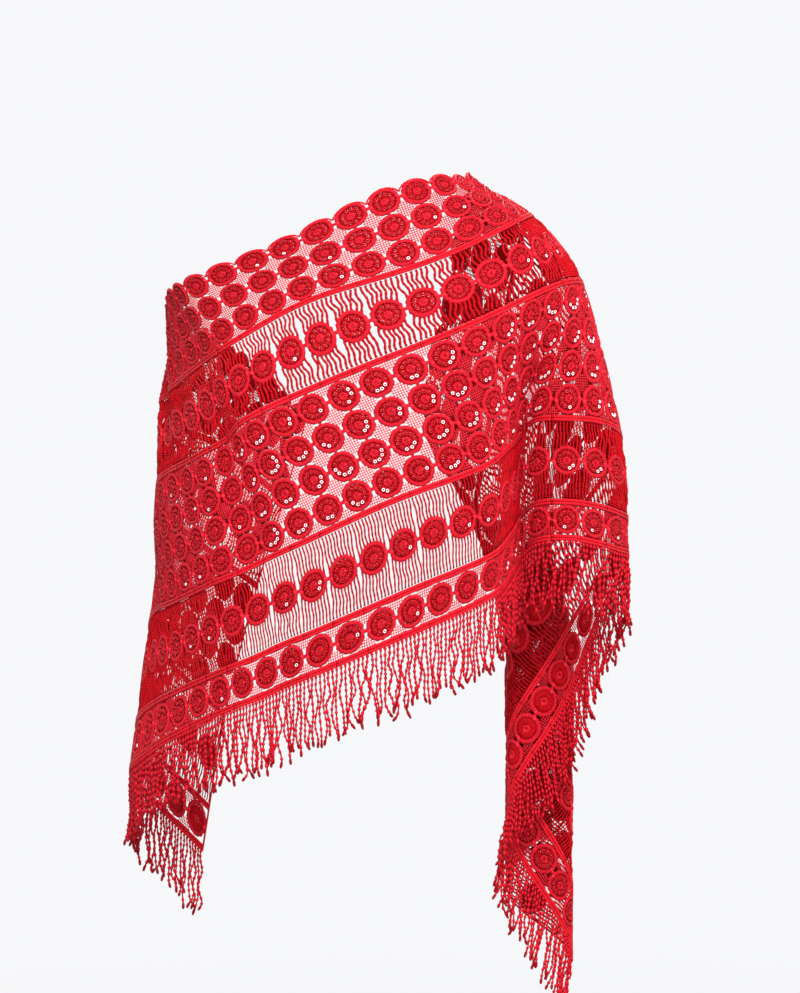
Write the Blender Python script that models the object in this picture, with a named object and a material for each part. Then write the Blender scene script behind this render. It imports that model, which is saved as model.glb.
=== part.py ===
"""Lace shawl with a strung fringe, in the form it takes when it is worn over both arms.

The shawl is one straight length of banded guipure lace. Each stretch of it is a thin wall lofted
through the sections in SECTIONS and, for the loose end, through the folds that hang() works out.
Axes: +X to the wearer's left, -Y to the front, +Z up. The origin lies on top of the left shoulder.
"""
import math
from collections import namedtuple

import bmesh
import bpy
from mathutils import Vector

MM = 0.001

# The flat lace: columns of medallions one PITCH apart along it, bands across it. RELIEF and
# CORD_RELIEF are how far the medallions and the cords stand out of the wall.
PITCH = 34.0
WIDTH = 447.0
WALL = 1.6
RELIEF = 1.5
CORD_RELIEF = 1.1
SCALLOP = 5.0
SEAM = 0.3
CORNER_ANGLE = math.radians(50)

# Gaps between the loose strands: a wedge where two medallions meet, and a slot in the middle of
# each. MEDALLION is the height of the closed row between them.
WEDGE = 10.0
SLOT = 5.0
MEDALLION = 29.0

# The fringe: square strands on a root tape. They leave the hem as the cloth runs and weight draws
# them down. Those of the loose end, which lies folded, hang a little in front of its layers.
FRINGE = 75.0
FRINGE_SPREAD = 0.07
FRINGE_WAVES = 5.0
STRAND = 2.2
STRANDS_A_PITCH = 3.5
TAPE_GAP = 0.7
ROOT_TAPE = 3.2
HEM_RUN = 20.0
SAG = 0.88
END_SAG = 0.28
END_FROM = 14.0
END_OVER = 3.0
END_STRAND_WAY = Vector((-0.2, -0.35, -0.9))

Band = namedtuple("Band", "kind start end rows")
BANDS = (
    Band("medallions", 0, 92, 3),
    Band("cord", 92, 98, 0),
    Band("strands", 98, 172, 1),
    Band("cord", 172, 178, 0),
    Band("medallions", 178, 310, 4),
    Band("cord", 310, 316, 0),
    Band("strands", 316, 401, 1),
    Band("cord", 401, 407, 0),
    Band("medallions", 407, 441, 1),
    Band("cord", 441, 447, 0),
)

# One row for each section across the shawl, numbered by its medallion column. The points lie on
# the scalloped edge, on the first, second and third cords, and on the hem.
LEVELS = (0.0, 95.0, 175.0, 313.0, 447.0)
Row = namedtuple("Row", "column edge first_cord second_cord third_cord hem")
SECTIONS = (
    Row(-20.5, (-205, 110, -205), (-230, 115, -295), (-258, 115, -385), (-292, 110, -520), (-315, 100, -660)),
    Row(-17.0, (-255, 105, -155), (-295, 110, -240), (-322, 108, -335), (-355, 85, -450), (-378, 50, -582)),
    Row(-14.5, (-290, 95, -130), (-332, 98, -220), (-354, 84, -300), (-364, 30, -402), (-374, -20, -542)),
    Row(-12.0, (-323, 74, -106), (-348, 66, -190), (-350, 20, -265), (-335, -30, -384), (-326, -70, -510)),
    Row(-9.5, (-342, 34, -86), (-331, 4, -168), (-314, -52, -240), (-292, -94, -358), (-271, -108, -480)),
    Row(-8.0, (-340, 4, -74), (-310, -40, -150), (-290, -88, -222), (-257, -118, -340), (-238, -118, -466)),
    Row(-6.0, (-316, -45, -60), (-276, -90, -126), (-256, -114, -195), (-202, -126, -314), (-186, -120, -443)),
    Row(-3.0, (-226, -72, -23), (-200, -100, -84), (-172, -122, -157), (-116, -130, -274), (-96, -124, -404)),
    Row(0.0, (-130, -62, 24), (-101, -98, -52), (-74, -122, -118), (-29, -114, -242), (-21, -96, -372)),
    Row(1.5, (-85, -40, 37), (-52, -80, -34), (-26, -108, -98), (-5, -78, -226), (-2, -58, -355)),
    Row(3.0, (-54, 0, 39), (-7, -50, -13), (16, -80, -79), (9, -28, -216), (10, -22, -340)),
    Row(4.0, (-47, 22, 36), (8, -28, -6), (39, -60, -70), (26, -48, -201), (26, -50, -323)),
    Row(5.0, (-46, 42, 33), (16, -5, -3), (57, -35, -66), (54, -62, -199), (54, -64, -319)),
    Row(6.0, (-46, 60, 28), (20, 18, -2), (68, -6, -67), (81, -46, -202), (80, -48, -325)),
    Row(7.0, (-48, 76, 16), (19, 42, -8), (71, 22, -74), (102, -16, -211), (105, -16, -335)),
    Row(8.0, (-51, 88, 0), (12, 62, -24), (66, 46, -90), (110, 14, -226), (118, 18, -346)),
    Row(10.5, (-62, 102, -62), (-2, 88, -92), (52, 76, -160), (92, 50, -296), (86, 46, -412)),
    Row(13.0, (-78, 112, -128), (-22, 104, -172), (28, 94, -246), (58, 74, -384), (38, 60, -484)),
)

# Gathers along the scalloped edge, where the arm and the shoulder hold it. They fade out over
# GATHER_ENDS columns at each end, and flatten toward their reach.
GATHER_ENDS = 2.0
GATHER_TAPER = 1.3
Gather = namedtuple("Gather", "first last depth reach")
GATHERS = (
    Gather(-20.5, -9.0, 11.0, 190.0),
    Gather(2.5, 10.5, 6.5, 90.0),
)

# Troughs that run across the bands, such as the one between the body and the right arm. Each
# deepens over TROUGH_FADE millimetres from its start.
TROUGH_FADE = 80.0
Trough = namedtuple("Trough", "column half_width depth start")
TROUGHS = (
    Trough(-7.6, 1.0, 9.0, 110.0),
    Trough(-14.0, 1.2, 7.0, 200.0),
)

# The loose end behind the left arm: it hangs on the bias and folds back and forth on itself. It
# lies plain above PLAIN_Z and fully folded below FOLDED_Z. Its outermost layer opens toward the arm.
HANG_FROM = 8.0
HANG_FULL = 13.0
SHAWL_END = 23.5
CORNER_Z = -775.0
BIAS = math.radians(35.3)
FOLD = 112.0
FOLD_LEFT = 0.0
FOLD_RIGHT = 67.0
ARM_SIDE_X = 120.0
ARM_SIDE_W = -305.0
NECK_X = -50.0
NECK_W = 60.0
BACK_SPREAD = 0.72
LAYER_Y = 75.0
LAYER_STEP = 0.15
FOLD_ROUND = 6.5
ARM_DIP = 28.0
OPENING_BEND = 0.85
OPENING_SPEED = 1.8
PLAIN_Z = -110.0
FOLDED_Z = -470.0

Stretch = namedtuple("Stretch", "name first last slots")
STRETCHES = (
    Stretch("right_fall", -20.5, -12.5, False),
    Stretch("right_arm", -12.5, -7.5, True),
    Stretch("front", -7.5, 1.5, True),
    Stretch("left_arm", 1.5, 7.5, True),
    Stretch("back_fall", 7.5, 14.5, False),
    Stretch("tail", 14.5, 23.5, False),
)


def ease(value):
    """A soft step from 0 to 1."""
    value = min(1.0, max(0.0, value))
    return value * value * (3.0 - 2.0 * value)


def spline(knots, points, at):
    """A smooth curve through the points, run on straight past its ends."""
    last = len(knots) - 1
    if at <= knots[0]:
        slope = (points[1] - points[0]) / (knots[1] - knots[0])
        return points[0] + slope * (at - knots[0])
    if at >= knots[last]:
        slope = (points[last] - points[last - 1]) / (knots[last] - knots[last - 1])
        return points[last] + slope * (at - knots[last])
    index = 0
    while knots[index + 1] < at:
        index += 1
    span = knots[index + 1] - knots[index]
    share = (at - knots[index]) / span
    before = max(index - 1, 0)
    after = min(index + 2, last)
    leave = (points[index + 1] - points[before]) / (knots[index + 1] - knots[before]) * span
    arrive = (points[after] - points[index]) / (knots[after] - knots[index]) * span
    square = share * share
    cube = square * share
    return (points[index] * (2 * cube - 3 * square + 1) + leave * (cube - 2 * square + share)
            + points[index + 1] * (3 * square - 2 * cube) + arrive * (cube - square))


COLUMNS = [row.column for row in SECTIONS]
LEVEL_LINES = [[Vector(row[1 + level]) for row in SECTIONS] for level in range(len(LEVELS))]


def worn(column, across):
    """The cloth over the arms and the front, through the sections."""
    points = [spline(COLUMNS, line, column) for line in LEVEL_LINES]
    return spline(LEVELS, points, across)


def hang(column, across):
    """The loose end: its bias position, then its folds one behind another."""
    along = (column - SHAWL_END) * PITCH
    left = WIDTH - across
    sideways = along * math.sin(BIAS) + left * math.cos(BIAS)
    height = CORNER_Z - along * math.cos(BIAS) + left * math.sin(BIAS)
    middle = 0.5 * (FOLD_LEFT + FOLD_RIGHT)
    swing = 0.5 * (FOLD_RIGHT - FOLD_LEFT)
    folded = middle + swing * math.cos(math.pi * sideways / FOLD)
    toward_arm = max(0.0, (-FOLD - sideways) / (-FOLD - ARM_SIDE_W))
    open_layer = FOLD_LEFT + (ARM_SIDE_X - FOLD_LEFT) * toward_arm ** OPENING_BEND
    folded += (open_layer - folded) * ease(OPENING_SPEED * toward_arm)
    if sideways < NECK_W:
        plain = NECK_X + (NECK_W - sideways) * (ARM_SIDE_X - NECK_X) / (NECK_W - ARM_SIDE_W)
    else:
        plain = NECK_X - BACK_SPREAD * (sideways - NECK_W)
    share = ease((PLAIN_Z - height) / (PLAIN_Z - FOLDED_Z))
    depth = LAYER_Y + LAYER_STEP * (sideways + FOLD) - ARM_DIP * toward_arm ** 2
    depth += FOLD_ROUND * math.sin(2.0 * math.pi * sideways / FOLD) * ease(1.0 - toward_arm) * share ** 2
    return Vector((plain + (folded - plain) * share, depth, height))


def drape(column, across):
    """The cloth's inner side before its gathers and troughs."""
    if column <= HANG_FROM:
        return worn(column, across)
    share = ease((column - HANG_FROM) / (HANG_FULL - HANG_FROM))
    return worn(column, across).lerp(hang(column, across), share)


NORMAL_STEP = 0.15


def outward(column, across, shape):
    """The unit normal of a shape on the side away from the wearer."""
    step = NORMAL_STEP
    run = shape(column + step, across) - shape(column - step, across)
    fall = shape(column, across + step * PITCH) - shape(column, across - step * PITCH)
    return fall.cross(run).normalized()


def place(column, across):
    """A point of the cloth's inner side, in millimetres."""
    offset = 0.0
    for gather in GATHERS:
        if gather.first < column < gather.last and across < gather.reach:
            ends = min(column - gather.first, gather.last - column)
            fade = ease(ends / GATHER_ENDS) * (1.0 - across / gather.reach) ** GATHER_TAPER
            offset += gather.depth * fade * math.cos(math.pi * column)
    for trough in TROUGHS:
        if across > trough.start:
            nearness = (column - trough.column) / trough.half_width
            deepened = ease((across - trough.start) / TROUGH_FADE)
            offset -= trough.depth * math.exp(-nearness * nearness) * deepened
    if offset == 0.0:
        return drape(column, across)
    return drape(column, across) + outward(column, across, drape) * offset


def make_material(name, color, roughness):
    """A plain thread colour."""
    material = bpy.data.materials.new(name)
    material.use_nodes = True
    shader = material.node_tree.nodes["Principled BSDF"]
    shader.inputs["Base Color"].default_value = color
    shader.inputs["Roughness"].default_value = roughness
    shader.inputs["Metallic"].default_value = 0.0
    return material


def plain_columns(stretch):
    """Half-pitch lines of a stretch, with a seam's gap at its ends."""
    steps = int(round(2 * (stretch.last - stretch.first)))
    lines = [stretch.first + 0.5 * step for step in range(steps + 1)]
    lines[0] += 0.5 * SEAM / PITCH
    lines[-1] -= 0.5 * SEAM / PITCH
    return lines


def strand_columns(stretch):
    """Lines beside the gaps of a strand band, and the numbers of its cells that are cut."""
    ends = plain_columns(stretch)
    half_wedge = 0.5 * WEDGE / PITCH
    half_slot = 0.5 * SLOT / PITCH
    count = int(round(stretch.last - stretch.first))
    lines = [ends[0]]
    cut = []
    for number in range(count):
        column = stretch.first + number
        lines.append(column + half_wedge)
        if stretch.slots:
            cut.append(len(lines))
            lines.append(column + 0.5 - half_slot)
            lines.append(column + 0.5 + half_slot)
        else:
            lines.append(column + 0.5)
        if number < count - 1:
            cut.append(len(lines))
        lines.append(column + 1 - half_wedge)
    lines.append(ends[-1])
    return lines, cut


class Cloth:
    """A wall that grows from a plain inner skin: each spot has an inner and an outer point."""

    def __init__(self):
        self.inner = []
        self.outer = []
        self.ways = []
        self.spots = {}
        self.faces = []

    def add(self, point, way, height):
        """A new spot: its inner point, the way out, and the wall's height there."""
        self.inner.append(point * MM)
        self.outer.append((point + way * height) * MM)
        self.ways.append(way)
        return len(self.inner) - 1

    def spot(self, column, across, relief=0.0):
        """The spot at a place on the flat lace, made once and shared by the faces around it."""
        key = (round(column, 4), round(across, 3))
        if key not in self.spots:
            way = outward(column, across, place)
            self.spots[key] = self.add(place(column, across), way, WALL + relief)
        return self.spots[key]

    def row(self, columns, across, relief=0.0):
        """A row of spots along the lace, each with its column."""
        return [(column, self.spot(column, across, relief)) for column in columns]

    def stitch(self, upper, lower, skip=()):
        """Faces between two rows, whose points may differ in number."""
        if len(upper) == len(lower):
            for cell in range(len(upper) - 1):
                if cell not in skip:
                    corners = (upper[cell][1], upper[cell + 1][1], lower[cell + 1][1], lower[cell][1])
                    self.faces.append(corners)
            return
        above = 0
        below = 0
        while above < len(upper) - 1 or below < len(lower) - 1:
            go_above = below == len(lower) - 1
            if above < len(upper) - 1 and not go_above:
                go_above = upper[above + 1][0] + upper[above][0] < lower[below + 1][0] + lower[below][0]
            if go_above:
                self.faces.append((upper[above][1], upper[above + 1][1], lower[below][1]))
                above += 1
            else:
                self.faces.append((upper[above][1], lower[below + 1][1], lower[below][1]))
                below += 1

    def finish(self, name, material, collection):
        """Both skins, and a rim along each free edge between them."""
        mesh = bmesh.new()
        inner = [mesh.verts.new(point) for point in self.inner]
        outer = [mesh.verts.new(point) for point in self.outer]
        edges = set()
        for face in self.faces:
            mesh.faces.new([outer[spot] for spot in reversed(face)])
            mesh.faces.new([inner[spot] for spot in face])
            edges.update(zip(face, face[1:] + face[:1]))
        for start, end in sorted(edges):
            if (end, start) not in edges:
                mesh.faces.new((inner[end], inner[start], outer[start], outer[end]))
        bmesh.ops.recalc_face_normals(mesh, faces=mesh.faces[:])
        bmesh.ops.triangulate(mesh, faces=mesh.faces[:])
        data = bpy.data.meshes.new(name)
        mesh.to_mesh(data)
        mesh.free()
        data.materials.append(material)
        data.shade_smooth()
        data.set_sharp_from_angle(angle=CORNER_ANGLE)
        item = bpy.data.objects.new(name, data)
        collection.objects.link(item)
        return item


def add_medallion_band(cloth, columns, band):
    """Square cells, each with a raised medallion in its middle and six spots around it."""
    step = (band.end - band.start) / band.rows
    for number in range(band.rows):
        top = band.start + number * step
        for cell in range(0, len(columns) - 1, 2):
            left, middle, right = columns[cell:cell + 3]
            notch = SCALLOP if band.start == 0 and number == 0 else 0.0
            ring = [
                cloth.spot(left, top + notch),
                cloth.spot(middle, top),
                cloth.spot(right, top + notch),
                cloth.spot(right, top + step),
                cloth.spot(middle, top + step),
                cloth.spot(left, top + step),
            ]
            centre = cloth.spot(middle, top + 0.5 * step, RELIEF)
            for corner in range(6):
                cloth.faces.append((ring[corner], ring[(corner + 1) % 6], centre))


def build_lace(stretch, collection, material):
    """One stretch of the lace wall, with its gaps cut through."""
    cloth = Cloth()
    plain = plain_columns(stretch)
    strands, cut = strand_columns(stretch)
    for number, band in enumerate(BANDS):
        if band.kind == "medallions":
            add_medallion_band(cloth, plain, band)
        elif band.kind == "cord":
            open_above = BANDS[number - 1].kind == "strands"
            open_below = number + 1 < len(BANDS) and BANDS[number + 1].kind == "strands"
            upper = cloth.row(strands if open_above else plain, band.start)
            ridge = cloth.row(plain, 0.5 * (band.start + band.end), CORD_RELIEF)
            lower = cloth.row(strands if open_below else plain, band.end)
            cloth.stitch(upper, ridge)
            cloth.stitch(ridge, lower)
        else:
            centre = 0.5 * (band.start + band.end)
            rows = [
                cloth.row(strands, band.start),
                cloth.row(strands, centre - 0.5 * MEDALLION),
                cloth.row(strands, centre + 0.5 * MEDALLION),
                cloth.row(strands, band.end),
            ]
            cloth.stitch(rows[0], rows[1], cut)
            cloth.stitch(rows[1], rows[2])
            cloth.stitch(rows[2], rows[3], cut)
    return cloth.finish("lace_" + stretch.name, material, collection)


def beside_hem(column, across):
    """A point and its way out on the straight line between half-pitch points, as the hem runs."""
    before = 0.5 * math.floor(2 * column)
    share = 2 * (column - before)
    point = place(before, across).lerp(place(before + 0.5, across), share)
    way = outward(before, across, place).lerp(outward(before + 0.5, across, place), share)
    return point, way


def strand_tip(column):
    """How a strand hangs: it leaves with the cloth, or to the front at the end, and is drawn down."""
    at_end = ease((column - END_FROM) / END_OVER)
    leave = (drape(column, WIDTH + ROOT_TAPE) - drape(column, WIDTH - HEM_RUN)).normalized()
    leave = leave.lerp(END_STRAND_WAY, at_end).normalized()
    down = Vector((0.0, 0.0, -1.0))
    way = leave.lerp(down, SAG + (END_SAG - SAG) * at_end).normalized()
    length = FRINGE * (1.0 - FRINGE_SPREAD + FRINGE_SPREAD * math.sin(FRINGE_WAVES * column))
    return way * length


def build_fringe(stretch, collection, material):
    """A comb: the root tape just below the hem, and strands that stand apart from each other."""
    cloth = Cloth()
    count = int((stretch.last - stretch.first) * STRANDS_A_PITCH)
    gap = (stretch.last - stretch.first) / count
    half = 0.5 * STRAND / PITCH
    top = WIDTH + TAPE_GAP
    bottom = WIDTH + ROOT_TAPE
    lines = []
    for index in range(count):
        middle = stretch.first + (index + 0.5) * gap
        lines += [middle - half, middle + half]
    upper = [(column, cloth.add(*beside_hem(column, top), WALL)) for column in lines]
    lower = [(column, cloth.add(*beside_hem(column, bottom), STRAND)) for column in lines]
    cloth.stitch(upper, lower)
    for index in range(count):
        left = lower[2 * index][1]
        right = lower[2 * index + 1][1]
        tip = strand_tip(lines[2 * index] + half)
        ends = [cloth.add(cloth.inner[root] / MM + tip, cloth.ways[root], STRAND) for root in (right, left)]
        cloth.faces.append((left, right, ends[0], ends[1]))
    return cloth.finish("fringe_" + stretch.name, material, collection)


LACE_COLOR = (0.52, 0.008, 0.02, 1.0)
LACE_ROUGHNESS = 0.55
FRINGE_COLOR = (0.42, 0.006, 0.016, 1.0)
FRINGE_ROUGHNESS = 0.6


def main():
    """Every stretch of the shawl, each as a lace wall and its fringe."""
    for item in list(bpy.data.objects):
        bpy.data.objects.remove(item, do_unlink=True)
    collection = bpy.data.collections.new("lace_shawl")
    bpy.context.scene.collection.children.link(collection)
    for stretch in STRETCHES:
        lace = make_material("lace_" + stretch.name, LACE_COLOR, LACE_ROUGHNESS)
        fringe = make_material("fringe_" + stretch.name, FRINGE_COLOR, FRINGE_ROUGHNESS)
        build_lace(stretch, collection, lace)
        build_fringe(stretch, collection, fringe)


main()
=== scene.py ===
import math
from collections import namedtuple

import bpy
import numpy as np
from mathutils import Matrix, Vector


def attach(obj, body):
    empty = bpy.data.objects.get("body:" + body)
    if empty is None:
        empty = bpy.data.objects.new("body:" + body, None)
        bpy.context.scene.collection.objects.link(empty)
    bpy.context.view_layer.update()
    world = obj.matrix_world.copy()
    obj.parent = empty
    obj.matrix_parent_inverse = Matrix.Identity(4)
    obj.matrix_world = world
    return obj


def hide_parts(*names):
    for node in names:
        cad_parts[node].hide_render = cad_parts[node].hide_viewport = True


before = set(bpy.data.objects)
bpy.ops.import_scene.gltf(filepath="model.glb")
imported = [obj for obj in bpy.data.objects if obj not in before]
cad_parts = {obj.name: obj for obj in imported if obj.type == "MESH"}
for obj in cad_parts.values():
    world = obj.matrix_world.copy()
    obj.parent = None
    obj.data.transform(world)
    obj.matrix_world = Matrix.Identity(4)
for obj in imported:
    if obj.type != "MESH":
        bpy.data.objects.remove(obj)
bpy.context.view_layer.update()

# ---------------------------------------------------------------------------------------------
# The view. The shawl is seen from a little above chest height, as it is worn, in soft white
# light in an empty pale room.
# ---------------------------------------------------------------------------------------------
# VIEW_HEIGHT is how much of the scene the frame takes in from top to foot, at the shawl.
VIEW_TARGET = Vector((-0.110, 0.0, -0.2815))
VIEW_DISTANCE = 3.4
VIEW_DOWN = math.radians(5.0)
VIEW_HEIGHT = 0.993
SENSOR = 36.0
lens = bpy.data.cameras.new("view")
lens.sensor_fit = "AUTO"
lens.sensor_width = SENSOR
lens.lens = VIEW_DISTANCE / VIEW_HEIGHT * SENSOR
camera = bpy.data.objects.new("view", lens)
bpy.context.scene.collection.objects.link(camera)
away = Vector((0.0, -math.cos(VIEW_DOWN), math.sin(VIEW_DOWN)))
camera.location = VIEW_TARGET + away * VIEW_DISTANCE
camera.rotation_euler = (math.radians(90.0) - VIEW_DOWN, 0.0, 0.0)
bpy.context.scene.camera = camera
bpy.context.scene.view_settings.view_transform = "Standard"

LAMP_AIM = Vector((-0.1, 0.0, -0.3))
Lamp = namedtuple("Lamp", "name place size power")
LAMPS = (
    Lamp("key_light", (0.15, -2.7, 1.3), 1.2, 182.0),
    Lamp("fill_light", (1.9, -1.7, 0.4), 1.6, 26.0),
    Lamp("rim_light", (-0.3, 2.3, 1.3), 1.6, 80.0),
)
for lamp in LAMPS:
    light = bpy.data.lights.new(lamp.name, "AREA")
    light.size = lamp.size
    light.energy = lamp.power
    item = bpy.data.objects.new(lamp.name, light)
    bpy.context.scene.collection.objects.link(item)
    item.location = lamp.place
    item.rotation_euler = (LAMP_AIM - Vector(lamp.place)).to_track_quat("-Z", "Y").to_euler()

ROOM_COLOR = (0.94, 0.945, 0.96)
ROOM_LIGHT = 0.99
world = bpy.data.worlds.new("studio")
bpy.context.scene.world = world
world.use_nodes = True
world.node_tree.nodes["Background"].inputs["Color"].default_value = ROOM_COLOR + (1.0,)
world.node_tree.nodes["Background"].inputs["Strength"].default_value = ROOM_LIGHT

# ---------------------------------------------------------------------------------------------
# The floor: matt painted board, pale grey white, that runs far out and melts into the room.
# ---------------------------------------------------------------------------------------------
# The board melts into the room between these two distances from its middle, in metres.
FLOOR_Z = -1.42
FLOOR_REACH = 60.0
FADE_FROM = 0.8
FADE_TO = 3.4
BOARD_ROUGHNESS = 0.9
BOARD_GRAIN = 30.0
BOARD_TONES = ((0.30, 0.305, 0.315, 1.0), (0.335, 0.34, 0.35, 1.0))
BOARD_GLOW = (0.10, 0.10, 0.10, 1.0)
BLACK = (0.0, 0.0, 0.0, 1.0)
ROOM_GLOW = tuple(part * ROOM_LIGHT for part in ROOM_COLOR) + (1.0,)
# The output of a Texture Coordinate node that gives the place on the object.
OBJECT_PLACE = 3


class Node:
    """A socket of a material, so that shader maths reads as sums."""

    def __init__(self, tree, socket):
        self.tree = tree
        self.socket = socket

    def add(self, kind, settings=(), **values):
        """A node of that type. Settings come first; the values name its sockets, or number them."""
        node = self.tree.nodes.new(kind)
        for key, value in dict(settings).items():
            setattr(node, key, value)
        for key, value in values.items():
            socket = node.inputs[int(key[1:])] if key[0] == "_" else node.inputs[key.replace("_", " ")]
            if isinstance(value, Node):
                self.tree.links.new(value.socket, socket)
            else:
                socket.default_value = value
        return node

    def take(self, kind, output=0, settings=(), **values):
        """One output of a new node."""
        return Node(self.tree, self.add(kind, settings, **values).outputs[output])

    def math(self, operation, *values):
        """The result of this operation on the values."""
        numbered = {"_%d" % index: value for index, value in enumerate(values)}
        return self.take("ShaderNodeMath", 0, {"operation": operation}, **numbered)

    def __add__(self, other):
        return self.math("ADD", self, other)

    __radd__ = __add__

    def __mul__(self, other):
        return self.math("MULTIPLY", self, other)

    __rmul__ = __mul__

    def wave(self):
        """A smooth wave from 0 to 1."""
        return 0.5 + 0.5 * self.math("SINE", self)

    def between(self, low, high):
        """A mix of two colours by this share."""
        return self.take("ShaderNodeMix", 2, {"data_type": "RGBA"}, _0=self, _6=low, _7=high)

    def feed(self, shader, name):
        """Links this value to the shader's input of that name."""
        self.tree.links.new(self.socket, shader.inputs[name])


def new_material(name, roughness):
    """An empty finish: its material, its Principled shader, and a start for its shader maths."""
    material = bpy.data.materials.new(name)
    material.use_nodes = True
    shader = material.node_tree.nodes["Principled BSDF"]
    shader.inputs["Roughness"].default_value = roughness
    return material, shader, Node(material.node_tree, None)


board, shader, maths = new_material("pale_board", BOARD_ROUGHNESS)
grain = maths.take("ShaderNodeTexNoise", Scale=BOARD_GRAIN, Detail=3.0)
spot = maths.take("ShaderNodeTexCoord", OBJECT_PLACE)
from_middle = maths.take("ShaderNodeVectorMath", 1, {"operation": "LENGTH"}, _0=spot)
far = maths.take("ShaderNodeMapRange", 0, {"interpolation_type": "SMOOTHSTEP"},
                 _0=from_middle, _1=FADE_FROM, _2=FADE_TO)
far.between(grain.between(*BOARD_TONES), BLACK).feed(shader, "Base Color")
far.between(BOARD_GLOW, ROOM_GLOW).feed(shader, "Emission Color")
shader.inputs["Emission Strength"].default_value = 1.0
shader.inputs["Specular IOR Level"].default_value = 0.0
floor_mesh = bpy.data.meshes.new("floor")
corners = [(x * FLOOR_REACH, y * FLOOR_REACH, FLOOR_Z) for x, y in ((-1, -1), (1, -1), (1, 1), (-1, 1))]
floor_mesh.from_pydata(corners, [], [(0, 1, 2, 3)])
floor_mesh.materials.append(board)
floor = bpy.data.objects.new("floor", floor_mesh)
bpy.context.scene.collection.objects.link(floor)

# ---------------------------------------------------------------------------------------------
# The worn form. The straight length of lace lies over the left shoulder and the arms: each
# section across it is held by five points, and the loose end hangs on the bias in folds.
# ---------------------------------------------------------------------------------------------
# Sizes are in millimetres from here on. The medallions lie in columns one PITCH apart.
MM = 0.001
PITCH = 34.0
WIDTH = 447.0

# One row for each section, numbered by its column of medallions. Its points lie on the scalloped
# edge, on the first, second and third cords, and on the hem, which are LEVELS across the lace.
LEVELS = np.array((0.0, 95.0, 175.0, 313.0, 447.0))
Row = namedtuple("Row", "column edge first_cord second_cord third_cord hem")
SECTIONS = (
    Row(-20.5, (-205, 110, -205), (-230, 115, -295), (-258, 115, -385), (-292, 110, -520), (-315, 100, -660)),
    Row(-17.0, (-255, 105, -155), (-295, 110, -240), (-322, 108, -335), (-355, 85, -450), (-378, 50, -582)),
    Row(-14.5, (-290, 95, -130), (-332, 98, -220), (-354, 84, -300), (-364, 30, -402), (-374, -20, -542)),
    Row(-12.0, (-323, 74, -106), (-348, 66, -190), (-350, 20, -265), (-335, -30, -384), (-326, -70, -510)),
    Row(-9.5, (-342, 34, -86), (-331, 4, -168), (-314, -52, -240), (-292, -94, -358), (-271, -108, -480)),
    Row(-8.0, (-340, 4, -74), (-310, -40, -150), (-290, -88, -222), (-257, -118, -340), (-238, -118, -466)),
    Row(-6.0, (-316, -45, -60), (-276, -90, -126), (-256, -114, -195), (-202, -126, -314), (-186, -120, -443)),
    Row(-3.0, (-226, -72, -23), (-200, -100, -84), (-172, -122, -157), (-116, -130, -274), (-96, -124, -404)),
    Row(0.0, (-130, -62, 24), (-101, -98, -52), (-74, -122, -118), (-29, -114, -242), (-21, -96, -372)),
    Row(1.5, (-85, -40, 37), (-52, -80, -34), (-26, -108, -98), (-5, -78, -226), (-2, -58, -355)),
    Row(3.0, (-54, 0, 39), (-7, -50, -13), (16, -80, -79), (9, -28, -216), (10, -22, -340)),
    Row(4.0, (-47, 22, 36), (8, -28, -6), (39, -60, -70), (26, -48, -201), (26, -50, -323)),
    Row(5.0, (-46, 42, 33), (16, -5, -3), (57, -35, -66), (54, -62, -199), (54, -64, -319)),
    Row(6.0, (-46, 60, 28), (20, 18, -2), (68, -6, -67), (81, -46, -202), (80, -48, -325)),
    Row(7.0, (-48, 76, 16), (19, 42, -8), (71, 22, -74), (102, -16, -211), (105, -16, -335)),
    Row(8.0, (-51, 88, 0), (12, 62, -24), (66, 46, -90), (110, 14, -226), (118, 18, -346)),
    Row(10.5, (-62, 102, -62), (-2, 88, -92), (52, 76, -160), (92, 50, -296), (86, 46, -412)),
    Row(13.0, (-78, 112, -128), (-22, 104, -172), (28, 94, -246), (58, 74, -384), (38, 60, -484)),
)

# Gathers along the scalloped edge. They fade out over GATHER_ENDS columns at each end, and flatten
# toward their reach. Troughs run across the bands, and deepen over TROUGH_FADE from their start.
GATHER_ENDS = 2.0
GATHER_TAPER = 1.3
Gather = namedtuple("Gather", "first last depth reach")
GATHERS = (
    Gather(-20.5, -9.0, 11.0, 190.0),
    Gather(2.5, 10.5, 6.5, 90.0),
)
TROUGH_FADE = 80.0
Trough = namedtuple("Trough", "column half_width depth start")
TROUGHS = (
    Trough(-7.6, 1.0, 9.0, 110.0),
    Trough(-14.0, 1.2, 7.0, 200.0),
)

# The loose end behind the left arm: it hangs on the bias and folds back and forth on itself. It
# lies plain above PLAIN_Z and fully folded below FOLDED_Z. Its outermost layer opens toward the arm.
HANG_FROM = 8.0
HANG_FULL = 13.0
SHAWL_START = -20.5
SHAWL_END = 23.5
CORNER_Z = -775.0
BIAS = math.radians(35.3)
FOLD = 112.0
FOLD_LEFT = 0.0
FOLD_RIGHT = 67.0
ARM_SIDE_X = 120.0
ARM_SIDE_W = -305.0
NECK_X = -50.0
NECK_W = 60.0
BACK_SPREAD = 0.72
LAYER_Y = 75.0
LAYER_STEP = 0.15
FOLD_ROUND = 6.5
ARM_DIP = 28.0
OPENING_BEND = 0.85
OPENING_SPEED = 1.8
PLAIN_Z = -110.0
FOLDED_Z = -470.0
NORMAL_STEP = 0.15


def ease(value):
    """A soft step from 0 to 1."""
    value = np.clip(value, 0.0, 1.0)
    return value * value * (3.0 - 2.0 * value)


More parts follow.
